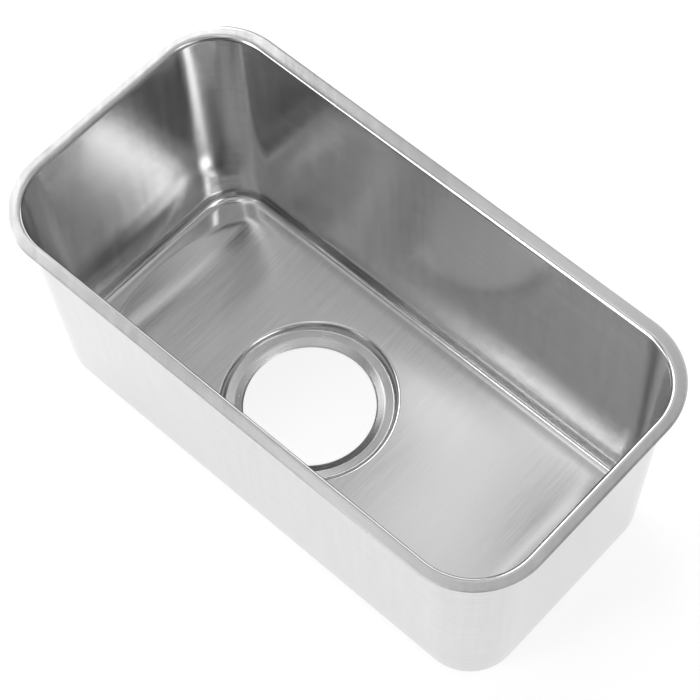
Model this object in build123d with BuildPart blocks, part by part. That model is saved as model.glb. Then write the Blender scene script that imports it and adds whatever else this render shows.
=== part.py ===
"""Narrow sink bowl for a camper galley, deep drawn from one stainless sheet, with its sound pads.

Frame: +Z up, X along the long side. The origin is the middle of the rim in plan, at the level
of the drain hole's lower edge, which is what the loose bowl stands on. Sizes in millimetres.
"""
from build123d import *
from math import acos, cos, degrees, radians, sin, tan
import os

# Sheet and rim
sheet = 1.0  # thickness of the steel
rim_length = 410.0  # over the rim, along X
rim_width = 212.0  # over the rim, along Y
rim_corner = 50.0  # plan radius of the rim's outer corners
rim_ledge = 9.5  # from the rim's edge to the bowl's inner wall, at rim level
mouth_bend = 2.0  # radius under the rim, where it turns down into the wall

# Bowl, on its inside
bowl_corner = 43.0  # plan radius of the corners, at rim level
draft = 3.1  # lean of the four walls, in degrees
bowl_depth = 168.0  # rim's top down to the foot of the walls
cove = 7.0  # radius between the walls and the floor
floor_ledge = 10.0  # level strip of the floor, from the foot of a wall to the edge of the dish
floor_fall = 5.0  # from the level strip down to the dish's lowest line
dish_end = 35.0  # length over which the dish rises again at each end

# Drain
drain_x = -30.0  # drain centre, from the middle of the rim
drain_y = -4.5
drain_bore = 44.5  # radius of the open hole
recess_lean = 60.0  # recess wall, in degrees from level
recess_lip = 2.0  # radius under the lip, where the floor turns down into the recess
seat_drop = 3.15  # floor's lowest line down to the strainer's seat
seat_bend = 1.5  # radius on top, between the recess wall and the seat
seat_width = 6.1  # level ring inside the recess wall
band_width = 5.9  # sloping ring between the level one and the hole
band_slope = 25.0  # fall of the sloping ring towards the hole, in degrees

# Sound pads
pad_thickness = 3.0
pad_width = 126.0
pad_corner = 8.0
pad_wall_gap = 46.0  # from the foot of an end wall to the pad's edge
pad_drain_gap = 13.0  # from the mouth of the recess to the pad's edge

# Levels and places that follow from the sizes
seat_level = band_width * tan(radians(band_slope)) + sheet / cos(radians(band_slope))
floor_low = seat_level + seat_drop
floor_edge = floor_low + floor_fall
rim_top = floor_edge + bowl_depth
mouth_half_x = rim_length / 2 - rim_ledge
mouth_half_y = rim_width / 2 - rim_ledge
foot_half_x = mouth_half_x - bowl_depth * tan(radians(draft))
foot_half_y = mouth_half_y - bowl_depth * tan(radians(draft))
dish_half_x = foot_half_x - floor_ledge
dish_half_y = foot_half_y - floor_ledge
side_radius = (dish_half_y**2 + floor_fall**2) / (2 * floor_fall)
end_radius = (dish_end**2 + floor_fall**2) / (2 * floor_fall)
seat_crease = drain_bore + band_width
seat_radius = seat_crease + seat_width
recess_mouth = seat_radius + seat_drop / tan(radians(recess_lean))
overlap = 5.0  # how far a cutting tool reaches past what it cuts

os.makedirs("parts", exist_ok=True)


def dish_form(grow):
    """The dish pressed into the floor, as a solid below the level strip, its skin moved out by grow.

    Its long section, level in the middle and turned up by an arc at each end, is turned about an axis
    high above the bowl, which makes it an arc across. The section is drawn by distance from that axis.
    """
    straight = dish_half_x - dish_end
    height = floor_fall + overlap
    lowest = side_radius + grow
    arc_radius = end_radius + grow
    half_length = straight + (arc_radius**2 - (arc_radius - height) ** 2) ** 0.5
    swing = acos(1 - height / lowest)
    start = Plane((0, 0, floor_low + side_radius), x_dir=(1, 0, 0), z_dir=(0, cos(swing), -sin(swing)))
    with BuildPart() as dish:
        with BuildSketch(start):
            with BuildLine():
                Line((-straight, lowest), (straight, lowest))
                RadiusArc((straight, lowest), (half_length, lowest - height), arc_radius)
                Line((half_length, lowest - height), (-half_length, lowest - height))
                RadiusArc((-half_length, lowest - height), (-straight, lowest), arc_radius)
            make_face()
        revolve(axis=Axis(start.origin, (1, 0, 0)), revolution_arc=2 * degrees(swing))
        split(bisect_by=Plane.XY.offset(floor_edge - grow), keep=Keep.BOTTOM)
    return dish.part


def floor_cast(grow):
    """What would stand on the floor's skin moved out by grow: a slab over the level strip, and the dish."""
    dish = dish_form(grow)
    with BuildPart() as cast:
        with BuildSketch(Plane.XY.offset(floor_edge - grow)):
            Rectangle(2 * foot_half_x, 2 * foot_half_y)
        extrude(amount=grow)
        add(dish)
    return cast.part


def grown(line, grow):
    """Offset an open line of (radius, level) points by grow to its left, with mitred corners."""
    points = [Vector(*point) for point in line]
    normals = []
    for start, end in zip(points[:-1], points[1:]):
        along = (end - start).normalized()
        normals.append(Vector(-along.Y, along.X))
    moved = [points[0] + normals[0] * grow]
    for corner, before, after in zip(points[1:-1], normals[:-1], normals[1:]):
        moved.append(corner + (before + after) * (grow / (1 + before.dot(after))))
    moved.append(points[-1] + normals[-1] * grow)
    return [(point.X, point.Y) for point in moved]


def recess_form(grow):
    """Recess wall, seat and sloping ring as one turned form round the drain's axis."""
    top = floor_edge + overlap
    wall_top = seat_radius + (top - seat_level) / tan(radians(recess_lean))
    ring_end = drain_bore - overlap
    ring_fall = (seat_crease - ring_end) * tan(radians(band_slope))
    skin = [(wall_top, top), (seat_radius, seat_level), (seat_crease, seat_level)]
    skin = grown([*skin, (ring_end, seat_level - ring_fall)], grow)
    with BuildPart() as turned:
        with BuildSketch(Plane((drain_x, drain_y, 0), x_dir=(1, 0, 0), z_dir=(0, -1, 0))):
            with BuildLine():
                FilletPolyline(*skin, radius=[seat_bend + grow, 0])
                Polyline(skin[-1], (0, skin[-1][1]), (0, skin[0][1]), skin[0])
            make_face()
        revolve(axis=Axis((drain_x, drain_y, 0), (0, 0, 1)))
    return turned.part


def bowl_form(grow):
    """The hollow of the bowl and its recess as a solid, with its skin moved out by grow."""
    dish = dish_form(grow)
    recess = recess_form(grow)
    wider = grow / cos(radians(draft))
    with BuildPart() as form:
        with BuildSketch(Plane.XY.offset(rim_top)):
            RectangleRounded(2 * (mouth_half_x + wider), 2 * (mouth_half_y + wider), bowl_corner + wider)
        extrude(amount=-(bowl_depth + grow), taper=draft)
        floor = form.faces().sort_by(Axis.Z)[0]
        fillet(floor.edges(), radius=cove + grow)
        add(dish)
        add(recess)
        lip = form.edges().filter_by(lambda edge: edge.is_closed and edge.center().Z > floor_low - grow)
        fillet(lip, radius=recess_lip + sheet - grow)
    return form.part


# The bowl: rim plate and outer form joined, bent into each other, then hollowed and pierced
outer_form = bowl_form(sheet)
hollow_form = bowl_form(0)
with BuildPart() as sink_bowl:
    add(outer_form)
    with BuildSketch(Plane.XY.offset(rim_top - sheet)):
        RectangleRounded(rim_length, rim_width, rim_corner)
    extrude(amount=sheet)
    rim_under = sink_bowl.faces().filter_by(Plane.XY).group_by(Axis.Z)[-2].sort_by(SortBy.AREA)[-1]
    fillet(rim_under.inner_wires()[0].edges(), radius=mouth_bend)
    add(hollow_form, mode=Mode.SUBTRACT)
    rim_face = sink_bowl.faces().sort_by(Axis.Z)[-1]
    fillet(rim_face.inner_wires()[0].edges(), radius=mouth_bend + sheet)
    with Locations((drain_x, drain_y, seat_level)):
        Hole(drain_bore)
sink_bowl.part.label = "sink_bowl"
export_step(sink_bowl.part, "parts/sink_bowl.step")

# The sound pads: one rubber sheet each side of the drain, stuck to the floor's underside
pad_top_cast = floor_cast(sheet)
pad_foot_cast = floor_cast(sheet + pad_thickness)
pad_reach = recess_mouth + sheet + pad_drain_gap
pad_spans = {
    "sound_pad_left": (-foot_half_x + pad_wall_gap, drain_x - pad_reach),
    "sound_pad_right": (drain_x + pad_reach, foot_half_x - pad_wall_gap),
}
for pad_name, (pad_start, pad_end) in pad_spans.items():
    with BuildPart() as sound_pad:
        with BuildSketch():
            with Locations(((pad_start + pad_end) / 2, 0)):
                RectangleRounded(pad_end - pad_start, pad_width, pad_corner)
        extrude(amount=floor_edge)
        add(pad_foot_cast, mode=Mode.INTERSECT)
        add(pad_top_cast, mode=Mode.SUBTRACT)
    sound_pad.part.label = pad_name
    export_step(sound_pad.part, f"parts/{pad_name}.step")
    print(pad_name, "length", round(pad_end - pad_start, 1), "volume", round(sound_pad.part.volume))

print("over all", rim_length, rim_width, round(rim_top, 2))
print("steel volume", round(sink_bowl.part.volume), "valid", sink_bowl.part.is_valid)
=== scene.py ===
# %% [markdown]
# # A camper sink bowl in brushed stainless steel
# The real bowl is one disc of steel, drawn by a press into a deep, narrow tub with a flat rim. This
# lesson dresses the construction model of it: first the camera, then the finish of the steel, the
# pressed skin itself, the rubber pads under it, and at last the floor and the lamps. Everything is in
# metres, in the frame of the construction model: +Z up, X along the bowl.

# %% Load the construction model
from math import cos, radians, sin, tan

import bpy
from mathutils import Matrix, Vector


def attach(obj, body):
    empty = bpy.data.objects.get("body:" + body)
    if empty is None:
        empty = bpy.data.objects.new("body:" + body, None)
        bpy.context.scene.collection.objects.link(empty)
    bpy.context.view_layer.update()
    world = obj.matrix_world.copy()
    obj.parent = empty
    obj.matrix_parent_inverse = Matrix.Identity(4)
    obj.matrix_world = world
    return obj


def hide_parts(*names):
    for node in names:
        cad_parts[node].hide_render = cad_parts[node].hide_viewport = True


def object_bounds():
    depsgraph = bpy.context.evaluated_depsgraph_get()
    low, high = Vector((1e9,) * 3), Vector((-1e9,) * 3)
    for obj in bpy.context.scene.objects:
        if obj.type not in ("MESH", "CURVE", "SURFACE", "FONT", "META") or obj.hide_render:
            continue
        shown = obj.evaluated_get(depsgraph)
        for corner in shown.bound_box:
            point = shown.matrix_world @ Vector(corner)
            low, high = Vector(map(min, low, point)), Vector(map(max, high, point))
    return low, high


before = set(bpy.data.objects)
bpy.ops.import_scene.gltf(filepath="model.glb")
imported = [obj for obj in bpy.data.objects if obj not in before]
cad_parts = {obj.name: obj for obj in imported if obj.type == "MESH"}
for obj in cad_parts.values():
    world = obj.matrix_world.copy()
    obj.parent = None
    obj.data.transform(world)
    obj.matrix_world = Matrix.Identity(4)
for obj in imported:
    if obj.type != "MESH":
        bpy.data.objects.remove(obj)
cad_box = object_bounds()
mm = 0.001
print("construction model", [round(v, 4) for corner in cad_box for v in corner])

# %% [markdown]
# ## Camera
# The camera stands near one corner and looks steeply down into the bowl. Its place was found by
# matching the rim, the corners and the drain hole, so it is given as two angles, a roll, a distance
# and a small aim to the side, all from the middle of the rim.

# %% Place the camera
azimuth, elevation, roll = radians(45.84), radians(60.59), radians(-3.81)
distance = 1340.07 * mm
aim_right, aim_up = 4.98 * mm, -36.8 * mm
lens_share = 2262.53 / 700  # focal length over the width of the picture
rim_top = cad_box[1].z

back = Vector((sin(azimuth) * cos(elevation), -cos(azimuth) * cos(elevation), sin(elevation)))
level_right = Vector((cos(azimuth), sin(azimuth), 0))
level_up = back.cross(level_right)
right = level_right * cos(roll) + level_up * sin(roll)
up = level_up * cos(roll) - level_right * sin(roll)
place = back * distance + level_right * aim_right + level_up * aim_up + Vector((0, 0, rim_top))

camera = bpy.data.objects.new("camera", bpy.data.cameras.new("camera"))
bpy.context.scene.collection.objects.link(camera)
camera.matrix_world = Matrix.Translation(place) @ Matrix((right, up, back)).transposed().to_4x4()
camera.data.lens = camera.data.sensor_width * lens_share
bpy.context.scene.camera = camera
print("camera at", [round(v, 3) for v in place], "lens", round(camera.data.lens, 1))

# %% [markdown]
# ## Formulas as nodes
# Shapes and materials are both made by trees of nodes. A tree of forty boxes and wires is hard to
# read in a script, so these helpers place a node in one line, and let a formula be written as plain
# arithmetic. A tree then reads like the rule that it stands for.

# %% Helpers for node trees


class Value:
    """One output of a node, with which sums can be written as sums."""

    def __init__(self, tree, socket):
        self.tree = tree
        self.socket = socket

    def maths(self, operation, *others):
        return place_node(self.tree, "ShaderNodeMath", self, *others, operation=operation)

    def __add__(self, other):
        return self.maths("ADD", other)

    def __sub__(self, other):
        return self.maths("SUBTRACT", other)

    def __rsub__(self, other):
        return (self * -1) + other

    def __mul__(self, other):
        return self.maths("MULTIPLY", other)

    def __truediv__(self, other):
        return self.maths("DIVIDE", other)

    __radd__ = __add__
    __rmul__ = __mul__


def place_node(tree, kind, *values, output=0, **settings):
    """Place a node, set its properties, fill its inputs in order and give back one of its outputs."""
    node = tree.nodes.new(kind)
    for name, setting in settings.items():
        setattr(node, name, setting)
    sockets = [socket for socket in node.inputs if socket.enabled]
    for socket, value in zip(sockets, values):
        if isinstance(value, Value):
            tree.links.new(value.socket, socket)
        elif value is not None:
            socket.default_value = value
    outputs = [socket for socket in node.outputs if socket.enabled]
    return Value(tree, outputs[output])


def vector_parts(tree, vector):
    """The X, Y and Z of a vector."""
    split = place_node(tree, "ShaderNodeSeparateXYZ", vector).socket.node
    return [Value(tree, socket) for socket in split.outputs]


def joined(tree, x, y, z):
    """A vector from its X, Y and Z."""
    return place_node(tree, "ShaderNodeCombineXYZ", x, y, z)


def ramp(value, start, end):
    """0 up to start, 1 from end on, and a soft step between them."""
    low, high = (start, end) if start < end else (end, start)
    step = place_node(
        value.tree, "ShaderNodeMapRange", value, low, high, 0.0, 1.0, interpolation_type="SMOOTHSTEP"
    )
    return step if start < end else 1 - step


# %% [markdown]
# ## Sizes
# The skin has the same sizes as the solid that it stands in for, all on the sheet's top side. The
# floor is a shallow dish: an arc across, level along the middle, and turned up by an arc at each end.

# %% Sizes of the bowl
sheet = 1.0 * mm
rim_length = 410.0 * mm
rim_width = 212.0 * mm
rim_corner = 50.0 * mm
rim_ledge = 9.5 * mm
mouth_bend = 3.0 * mm
draft = tan(radians(3.1))
bowl_depth = 168.0 * mm
cove = 7.0 * mm
floor_ledge = 10.0 * mm
floor_fall = 5.0 * mm
dish_end = 35.0 * mm

drain_x = -30.0 * mm
drain_y = -4.5 * mm
drain_bore = 44.5 * mm
seat_crease = 50.4 * mm
seat_radius = 56.5 * mm
seat_drop = 3.15 * mm
recess_lean = tan(radians(60.0))
band_slope = tan(radians(25.0))

floor_edge = rim_top - bowl_depth
floor_low = floor_edge - floor_fall
seat_level = floor_low - seat_drop
band_end = seat_level - (seat_crease - drain_bore) * band_slope
recess_mouth = seat_radius + seat_drop / recess_lean
foot = rim_ledge + bowl_depth * draft
dish_half_x = rim_length / 2 - foot - floor_ledge
dish_half_y = rim_width / 2 - foot - floor_ledge
side_radius = (dish_half_y**2 + floor_fall**2) / (2 * floor_fall)
end_radius = (dish_end**2 + floor_fall**2) / (2 * floor_fall)
print("floor from", round(floor_low / mm, 2), "to", round(floor_edge / mm, 2), "mm over the base")
print("arc across", round(side_radius / mm, 1), "mm, at the ends", round(end_radius / mm, 1), "mm")

# %% [markdown]
# ## Brushed steel
# The bowl has a satin finish: an abrasive belt has left fine, parallel scratches. They run across the
# floor, round the walls, and round the drain where the seat was turned. A single roughness can't show
# that, because such scratches smear a reflection only across themselves. So the shader's anisotropy is
# turned up, and its tangent is worked out from the place on the bowl. A noise stretched along the
# scratches then varies gloss and tone, and lifts the surface by two thousandths of a millimetre. The
# press and the belt also leave swathes some millimetres wide, which a second, broader noise stands for.

# %% Where each kind of scratch runs
steel = bpy.data.materials.new("brushed steel")
steel.use_nodes = True
finish = steel.node_tree
shader = finish.nodes["Principled BSDF"]
texture = finish.nodes.new("ShaderNodeTexCoord")
spot = Value(finish, texture.outputs["Object"])
spot_x, spot_y, spot_z = vector_parts(finish, spot)
from_drain_x = spot_x - drain_x
from_drain_y = spot_y - drain_y
drain_distance = (from_drain_x * from_drain_x + from_drain_y * from_drain_y).maths("SQRT")
on_seat = ramp(drain_distance, recess_mouth, recess_mouth - 1.5 * mm) * ramp(spot_z, floor_edge, floor_low)
on_floor = ramp(spot_z, floor_edge + cove, floor_edge + 1 * mm)
on_rim = ramp(spot_z, rim_top - mouth_bend, rim_top - 0.3 * mm)
upright = (0.0, 0.0, 1.0)
corner_x = rim_length / 2 - rim_corner
corner_y = rim_width / 2 - rim_corner


def crossed(a, b):
    return place_node(finish, "ShaderNodeVectorMath", a, b, operation="CROSS_PRODUCT")


def mixed(share, a, b):
    """Vector a where the share is 0, and b where it is 1."""
    return place_node(finish, "ShaderNodeMix", share, a, b, data_type="VECTOR")


past_x = spot_x - spot_x.maths("MINIMUM", corner_x).maths("MAXIMUM", -corner_x)
past_y = spot_y - spot_y.maths("MINIMUM", corner_y).maths("MAXIMUM", -corner_y)
round_walls = crossed(joined(finish, past_x, past_y, 0.0), upright)
round_drain = crossed(joined(finish, from_drain_x, from_drain_y, 0.0), upright)
round_drain = place_node(finish, "ShaderNodeVectorMath", round_drain, operation="NORMALIZE")
scratch = mixed(on_floor, round_walls, (0.0, 1.0, 0.0))
scratch = mixed(on_seat, scratch, round_drain)
print("scratches in", len(finish.nodes), "nodes")

# %% Scratches as stretched noise
fine, long = 1000.0, 25.0  # noise per metre, across the scratches and along them
broad, wide = 160.0, 12.0  # the same for the swathes


def streaks(x, y, z, detail):
    """Noise that is stretched where its coordinates are small."""
    lines = joined(finish, x, y, z)
    return place_node(finish, "ShaderNodeTexNoise", lines, 1.0, detail, 0.6)


wall_streaks = streaks(spot_x * long, spot_y * long, spot_z * fine, 3.0)
floor_streaks = streaks(spot_x * fine, spot_y * long, spot_z * 0.0, 3.0)
seat_streaks = streaks(from_drain_x * long, from_drain_y * long, drain_distance * fine, 2.0)
grain = wall_streaks + (floor_streaks - wall_streaks) * on_floor
grain = grain + (seat_streaks - grain) * on_seat
around = spot_x + spot_y * (1 - on_floor)
swathes = streaks(around * broad, spot_y * wide, spot_z * wide, 2.0)
print("scratches about", round(1 / fine / mm, 1), "mm apart, swathes", round(1 / broad / mm, 1), "mm")

# %% Gloss, tone and lift
steel_colour = 0.65
grain_tone, swathe_tone = 0.14, 0.08
wall_roughness, seat_roughness, rim_roughness = 0.17, 0.25, 0.19
grain_roughness, swathe_roughness = 0.10, 0.08
wall_smear, extra_seat_smear = 0.45, 0.4
scratch_depth = 0.002 * mm
shader.inputs["Metallic"].default_value = 1.0
roughness = (
    wall_roughness
    + (seat_roughness - wall_roughness) * on_seat
    + (rim_roughness - wall_roughness) * on_rim
    + (grain - 0.5) * grain_roughness
    + (swathes - 0.5) * swathe_roughness
)
tone = steel_colour + (grain - 0.5) * grain_tone + (swathes - 0.5) * swathe_tone
smear = wall_smear + on_seat * extra_seat_smear
lift = place_node(finish, "ShaderNodeBump", 1.0, scratch_depth, None, grain)
finish.links.new(roughness.socket, shader.inputs["Roughness"])
finish.links.new(tone.socket, shader.inputs["Base Color"])
finish.links.new(lift.socket, shader.inputs["Normal"])
finish.links.new(scratch.socket, shader.inputs["Tangent"])
finish.links.new(smear.socket, shader.inputs["Anisotropic"])
print("steel finish", len(finish.nodes), "nodes")

# %% [markdown]
# ## Section of the sheet
# Seen in section, the skin is one bent line: rim, mouth bend, wall, cove, floor, recess, seat and the
# sloping ring round the hole. Its outer part follows the rim, and its inner part is turned round the
# drain. A share from 0 to 1 says how far each row of points has gone over from the one to the other.
# Each row is a tuple: distance in from the rim's edge, radius from the drain, height, share, and
# whether the row takes part in the dish.


# %% Draw the section
def bent_line(corners, radii, step=radians(6)):
    """A line through corners, each rounded by an arc of its own radius."""
    points = [Vector(corners[0])]
    for before, corner, after, radius in zip(corners, corners[1:], corners[2:], radii):
        corner = Vector(corner)
        back_along = (Vector(before) - corner).normalized()
        on_along = (Vector(after) - corner).normalized()
        half = back_along.angle(on_along) / 2
        middle = corner + (back_along + on_along).normalized() * radius / sin(half)
        start = corner + back_along * radius / tan(half) - middle
        end = corner + on_along * radius / tan(half) - middle
        turn = start.angle(end)
        count = max(2, round(turn / step))
        for k in range(count + 1):
            share = k / count
            points.append(middle + (start * sin((1 - share) * turn) + end * sin(share * turn)) / sin(turn))
    points.append(Vector(corners[-1]))
    return points


def steps(start, end, count):
    """Evenly spaced values after start, up to and with end."""
    return [start + (end - start) * k / count for k in range(1, count + 1)]


mouth = bent_line([(0, rim_top), (rim_ledge, rim_top), (foot, floor_edge)], [mouth_bend])
toe = bent_line([(rim_ledge, rim_top), (foot, floor_edge), (foot + 2 * cove, floor_edge)], [cove])
wall = [mouth[-2].lerp(toe[1], t) for t in steps(0, 1, 12)[:-1]]
ledge_end = foot + floor_ledge + 6 * mm
lip_start = recess_mouth + 4 * mm
recess = bent_line(
    [
        (lip_start, seat_level + (lip_start - seat_radius) * recess_lean),
        (seat_radius, seat_level),
        (seat_crease, seat_level),
        (drain_bore, band_end),
    ],
    [1.5 * mm, 0.5 * mm],
)

rim_line = [0, *steps(0.4 * mm, mouth[1].x, 5)[:-1]]
wall_line = mouth[1:-1] + wall + toe[1:-1]
lip_line = [recess[0].lerp(recess[1], t) for t in [0, *steps(0, 1, 22)]]
drain_line = recess[2:-1] + [recess[-2].lerp(recess[-1], t) for t in steps(0, 1, 5)]
rows = [(x, 0, rim_top, 0, 0) for x in rim_line]
rows += [(p.x, 0, p.y, 0, 0) for p in wall_line]
rows += [(x, 0, rim_top, 0, 1) for x in steps(toe[-2].x, ledge_end, 12)]
rows += [(ledge_end, lip_start, rim_top, t, 1) for t in steps(0, 1, 40)[:-1]]
rows += [(ledge_end, p.x, p.y, 1, 1) for p in lip_line + drain_line]
section_mesh = bpy.data.meshes.new("section")
section_mesh.from_pydata([row[:3] for row in rows], [], [])
for name, place_in_row in (("share", 3), ("dished", 4)):
    layer = section_mesh.attributes.new(name, "FLOAT", "POINT")
    layer.data.foreach_set("value", [row[place_in_row] for row in rows])
section = bpy.data.objects.new("section", section_mesh)
bpy.context.scene.collection.objects.link(section)
print("section of", len(rows), "rows")

# %% [markdown]
# ## The pressed skin
# The whole bowl follows one rule: each point of the rim's outline carries the same section down to the
# drain. Modelling by hand would pinch where the round corners meet the cove and the dish. So a tree
# of geometry nodes lays a grid of columns and rows, and works out the place of every point. The floor
# drops into the dish by a soft minimum of two heights, and the lip of the recess is a soft minimum too.

# %% Inputs of the tree
tree = bpy.data.node_groups.new("pressed skin", "GeometryNodeTree")
tree.interface.new_socket("Section", in_out="INPUT", socket_type="NodeSocketGeometry")
sizes = {
    "Length": rim_length,
    "Width": rim_width,
    "Corner": rim_corner,
    "Drain X": drain_x,
    "Drain Y": drain_y,
    "Floor Edge": floor_edge,
    "Floor Low": floor_low,
    "Dish Straight": dish_half_x - dish_end,
    "Side Radius": side_radius,
    "End Radius": end_radius,
    "Dish Softness": 0.6 * mm,
    "Lip Softness": 3.3 * mm,
    "Columns": 320,
}
for name in sizes:
    kind = "NodeSocketInt" if name == "Columns" else "NodeSocketFloat"
    tree.interface.new_socket(name, in_out="INPUT", socket_type=kind)
tree.interface.new_socket("Skin", in_out="OUTPUT", socket_type="NodeSocketGeometry")
entry = tree.nodes.new("NodeGroupInput")
given = {socket.name: Value(tree, socket) for socket in entry.outputs if socket.name}
print("inputs:", ", ".join(given))


def add(kind, *values, **settings):
    return place_node(tree, kind, *values, **settings)


# %% A grid of columns along the outline and rows along the section
outline = add("GeometryNodeCurvePrimitiveQuadrilateral", given["Length"], given["Width"])
outline = add("GeometryNodeFilletCurve", outline, 32, given["Corner"], mode="POLY")
outline = add("GeometryNodeResampleCurve", outline, True, given["Columns"])
row_count = add("GeometryNodeAttributeDomainSize", given["Section"])
grid = add("GeometryNodeMeshGrid", 1.0, 1.0, given["Columns"] + 1, row_count)
index = add("GeometryNodeInputIndex")
row = index.maths("MODULO", row_count)
column = (index / row_count).maths("FLOOR").maths("MODULO", given["Columns"])

position = add("GeometryNodeInputPosition")
ring = add("GeometryNodeSampleIndex", outline, position, column, data_type="FLOAT_VECTOR")
point = add("GeometryNodeSampleIndex", given["Section"], position, row, data_type="FLOAT_VECTOR")
share_in = add("GeometryNodeInputNamedAttribute", "share", data_type="FLOAT")
dished_in = add("GeometryNodeInputNamedAttribute", "dished", data_type="FLOAT")
share = add("GeometryNodeSampleIndex", given["Section"], share_in, row, data_type="FLOAT")
dished = add("GeometryNodeSampleIndex", given["Section"], dished_in, row, data_type="FLOAT")

# %% The place of each point in plan
inward, outward, height = vector_parts(tree, point)
ring_x, ring_y, _ = vector_parts(tree, ring)
straight_x = given["Length"] / 2 - given["Corner"]
straight_y = given["Width"] / 2 - given["Corner"]
centre_x = ring_x.maths("MINIMUM", straight_x).maths("MAXIMUM", straight_x * -1)
centre_y = ring_y.maths("MINIMUM", straight_y).maths("MAXIMUM", straight_y * -1)
wall_x = ring_x - (ring_x - centre_x) / given["Corner"] * inward
wall_y = ring_y - (ring_y - centre_y) / given["Corner"] * inward
from_x = wall_x - given["Drain X"]
from_y = wall_y - given["Drain Y"]
away = (from_x * from_x + from_y * from_y).maths("SQRT")
disc_x = given["Drain X"] + from_x / away * outward
disc_y = given["Drain Y"] + from_y / away * outward
x = wall_x + (disc_x - wall_x) * share
y = wall_y + (disc_y - wall_y) * share

# %% Its height
over = (x.maths("ABSOLUTE") - given["Dish Straight"]).maths("MAXIMUM", 0.0)
rise = given["End Radius"] - (given["End Radius"] * given["End Radius"] - over * over).maths("SQRT")
reach = given["Side Radius"] - rise
dish = given["Floor Low"] + given["Side Radius"] - (reach * reach - y * y).maths("SQRT")
pan = dish.maths("SMOOTH_MIN", given["Floor Edge"], given["Dish Softness"])
sunk = pan.maths("SMOOTH_MIN", height, given["Lip Softness"])
z = height + (sunk - height) * dished

skin = add("GeometryNodeSetPosition", grid, True, joined(tree, x, y, z))
skin = add("GeometryNodeMergeByDistance", skin, True, 0.01 * mm)
skin = add("GeometryNodeSetShadeSmooth", skin, True, True)
skin = add("GeometryNodeRealizeInstances", skin)
skin = add("GeometryNodeSetMaterial", skin, True, steel)
leave = tree.nodes.new("NodeGroupOutput")
tree.links.new(skin.socket, leave.inputs[0])
print("tree of", len(tree.nodes), "nodes")


# %% Run the tree
def settled(source, name):
    """A plain mesh object of what the modifiers make of an object, which is then removed."""
    graph = bpy.context.evaluated_depsgraph_get()
    mesh = bpy.data.meshes.new_from_object(source.evaluated_get(graph))
    bpy.data.objects.remove(source)
    mesh.name = name
    made = bpy.data.objects.new(name, mesh)
    bpy.context.scene.collection.objects.link(made)
    return made


modifier = section.modifiers.new("pressed skin", "NODES")
modifier.node_group = tree
for item in tree.interface.items_tree:
    if item.in_out == "INPUT" and item.name in sizes:
        modifier[item.identifier] = sizes[item.name]
skin_object = settled(section, "skin")
print("skin", len(skin_object.data.vertices), "points", len(skin_object.data.polygons), "faces")

# %% [markdown]
# ## Thickness and cut edges
# The press keeps the sheet about one thickness all over, so the skin is thickened away from its top
# side by a solidify modifier. Shears leave two edges: round the rim and round the drain hole. They are
# broken by a small bevel, as on the real bowl, where a sharp edge would cut a hand.

# %% Thicken the skin and break its edges
edge_break = 0.18 * mm
thick = skin_object.modifiers.new("sheet", "SOLIDIFY")
thick.thickness = sheet
thick.offset = -1
thick.use_even_offset = True
thick.use_quality_normals = True
broken = skin_object.modifiers.new("broken edges", "BEVEL")
broken.width = edge_break
broken.segments = 2
broken.limit_method = "ANGLE"
broken.angle_limit = radians(50)
bowl = settled(skin_object, "bowl")
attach(bowl, "root")
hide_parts("sink_bowl")
triangles = sum(len(face.vertices) - 2 for face in bowl.data.polygons)
print("bowl of", triangles, "triangles")

# %% [markdown]
# ## Rubber pads
# Two die-cut sheets of black rubber are stuck under the floor, so that the thin bowl doesn't drum. The
# solids have the right shape already, so they stay, and only get a finish: dusty, matt, and slightly
# grained from the mould.

# %% Rubber
rubber = bpy.data.materials.new("pad rubber")
rubber.use_nodes = True
matt = rubber.node_tree
matt_shader = matt.nodes["Principled BSDF"]
pad_spot = place_node(matt, "ShaderNodeTexCoord", output=3)
pore_scale, dust_scale = 900.0, 30.0
pore_depth = 0.1 * mm
pores = place_node(matt, "ShaderNodeTexNoise", pad_spot, pore_scale, 4.0, 0.65)
dust = place_node(matt, "ShaderNodeTexNoise", pad_spot, dust_scale, 3.0, 0.6)
black = 0.022 + dust * 0.02
black_colour = joined(matt, black, black, black * 1.05)
matt_lift = place_node(matt, "ShaderNodeBump", 0.5, pore_depth, None, pores)
matt.links.new(black_colour.socket, matt_shader.inputs["Base Color"])
matt.links.new((0.62 + dust * 0.2).socket, matt_shader.inputs["Roughness"])
matt.links.new(matt_lift.socket, matt_shader.inputs["Normal"])
for name in ("sound_pad_left", "sound_pad_right"):
    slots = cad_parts[name].data.materials
    slots.clear()
    slots.append(rubber)
print("pads in", rubber.name)

# %% [markdown]
# ## Studio
# Bright metal shows the room more than itself, so the room is built with care: a pale floor, a soft
# sky for the plain light, and large lamps and dark cards out of the camera's sight. A photographer
# sets up the same things round a steel bowl, because without dark cards it looks flat. The floor glows
# a little for the camera and in reflections, which keeps it pale. In reflections it glows less under
# the drain hole: that is a painted shadow, standing for the bowl's own shade on the floor there.

# %% Floor
floor_mesh = bpy.data.meshes.new("studio floor")
half = 6.0
floor_corners = [(-half, -half, 0), (half, -half, 0), (half, half, 0), (-half, half, 0)]
floor_mesh.from_pydata(floor_corners, [], [(0, 1, 2, 3)])
studio_floor = bpy.data.objects.new("studio_floor", floor_mesh)
bpy.context.scene.collection.objects.link(studio_floor)
pale = bpy.data.materials.new("pale floor")
pale.use_nodes = True
paper = pale.node_tree
paper_shader = paper.nodes["Principled BSDF"]
ray = paper.nodes.new("ShaderNodeLightPath")
by_camera, by_metal, by_glass = [
    Value(paper, ray.outputs[name]) for name in ("Is Camera Ray", "Is Glossy Ray", "Is Transmission Ray")
]
paper_x, paper_y, _ = vector_parts(paper, place_node(paper, "ShaderNodeTexCoord", output=3))
paper_grey = 0.42
glow = 0.73
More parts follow.
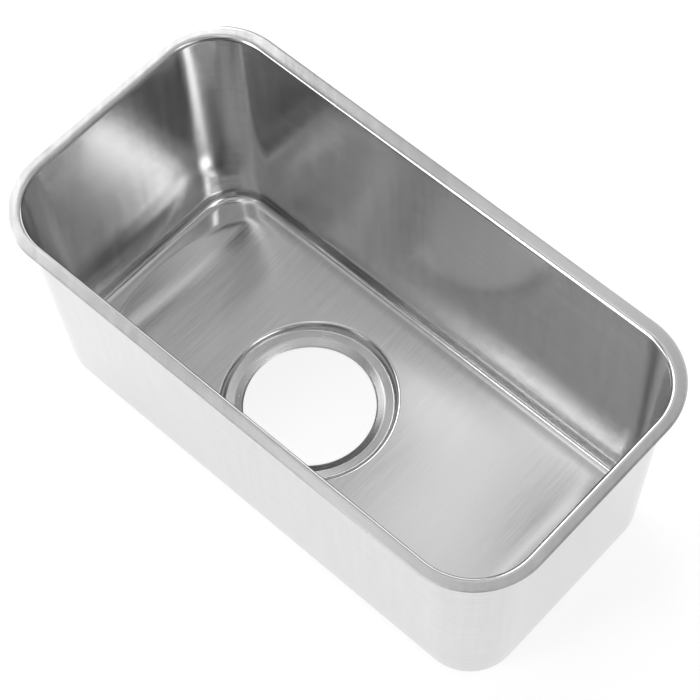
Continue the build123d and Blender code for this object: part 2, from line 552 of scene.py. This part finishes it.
# Painted shadow: in reflections the floor round the drain hole glows less, as if in the bowl's own shade.
# The camera still sees it fully pale.
glow_in_painted_shadow = 0.25
painted_shadow_edge = 20 * mm
hole_x, hole_y = paper_x - drain_x, paper_y - drain_y
hole_distance = (hole_x * hole_x + hole_y * hole_y).maths("SQRT")
outside_painted_shadow = ramp(hole_distance, drain_bore, drain_bore + painted_shadow_edge)
painted_shadow = glow_in_painted_shadow + (1 - glow_in_painted_shadow) * outside_painted_shadow
seen = by_camera.maths("MAXIMUM", by_metal.maths("MAXIMUM", by_glass) * painted_shadow)
paper_shader.inputs["Base Color"].default_value = (paper_grey, paper_grey, paper_grey, 1)
paper_shader.inputs["Roughness"].default_value = 0.9
paper_shader.inputs["Specular IOR Level"].default_value = 0.0
paper_shader.inputs["Emission Color"].default_value = (1, 1, 1, 1)
paper.links.new((seen * glow).socket, paper_shader.inputs["Emission Strength"])
floor_mesh.materials.append(pale)
print("floor", 2 * half, "m wide")

# %% Sky
world = bpy.data.worlds.new("studio")
world.use_nodes = True
sky = world.node_tree
direction = place_node(sky, "ShaderNodeTexCoord")
_, _, overhead = vector_parts(sky, direction)
at_horizon, more_overhead = 0.31, 0.29
brightness = at_horizon + overhead.maths("MAXIMUM", 0.0) * more_overhead
sky.links.new(brightness.socket, sky.nodes["Background"].inputs["Strength"])
sky.nodes["Background"].inputs["Color"].default_value = (1, 1, 1, 1)
bpy.context.scene.world = world
bpy.context.scene.view_settings.view_transform = "Standard"
print("sky from", at_horizon, "to", round(at_horizon + more_overhead, 2))

# %% Lamps and cards
nearest, spacing = 2.7, 0.05
panel_grey = 0.03


def panel(name, away, bearing, height, width, depth, strength):
    """A flat panel that faces the bowl, some metres away. Bearing and height are where it stands, in
    degrees from the bowl, with the bearing counted from +X towards +Y. Width and depth are how large
    it looks, in degrees too, and a strength of 1 is white."""
    bearing, height = radians(bearing), radians(height)
    towards = Vector((cos(height) * cos(bearing), cos(height) * sin(bearing), sin(height)))
    across = Vector((-sin(bearing), cos(bearing), 0)) * away * tan(radians(width) / 2)
    upward = towards.cross(across).normalized() * away * tan(radians(depth) / 2)
    middle = towards * away
    corners = [middle + across * i + upward * j for i, j in ((-1, -1), (-1, 1), (1, 1), (1, -1))]
    mesh = bpy.data.meshes.new(name)
    mesh.from_pydata(corners, [], [(0, 1, 2, 3)])
    board = bpy.data.objects.new(name, mesh)
    bpy.context.scene.collection.objects.link(board)
    board.visible_camera = False
    cover = bpy.data.materials.new(name)
    cover.use_nodes = True
    inputs = cover.node_tree.nodes["Principled BSDF"].inputs
    inputs["Base Color"].default_value = (panel_grey, panel_grey, panel_grey, 1)
    inputs["Emission Color"].default_value = (1, 1, 1, 1)
    inputs["Emission Strength"].default_value = strength
    mesh.materials.append(cover)


panels = {  # from the nearest to the farthest: bearing, height, width, depth, strength
    "lamp_left_low": (241, 8, 44, 22, 4.1),
    "lamp_left_strip": (253, 35, 12, 24, 6.0),
    "lamp_right": (355, 45, 16, 9, 3.8),
    "lamp_right_high": (15, 57, 7, 16, 4.2),
    "lamp_top": (212, 82, 45, 4, 1.7),
    "lamp_top_low": (185, 76, 54, 4, 1.1),
    "lamp_back_low": (109, 7, 50, 21, 2.6),
    "lamp_back_left": (171, 43, 46, 20, 4.6),
    "card_back_top": (89, 67, 19, 10, 0.2),
    "lamp_back_high": (84, 57, 41, 28, 0.75),
    "card_right": (8, 48, 32, 30, 0.04),
    "card_front_right": (311, 29, 48, 39, 0.04),
    "card_front_left": (224, 49, 7, 25, 0.04),
    "card_top": (316, 85, 13, 13, 0.04),
}
for order, (name, settings) in enumerate(panels.items()):
    panel(name, nearest + spacing * order, *settings)
print(len(panels), "lamps and cards from", nearest, "m")
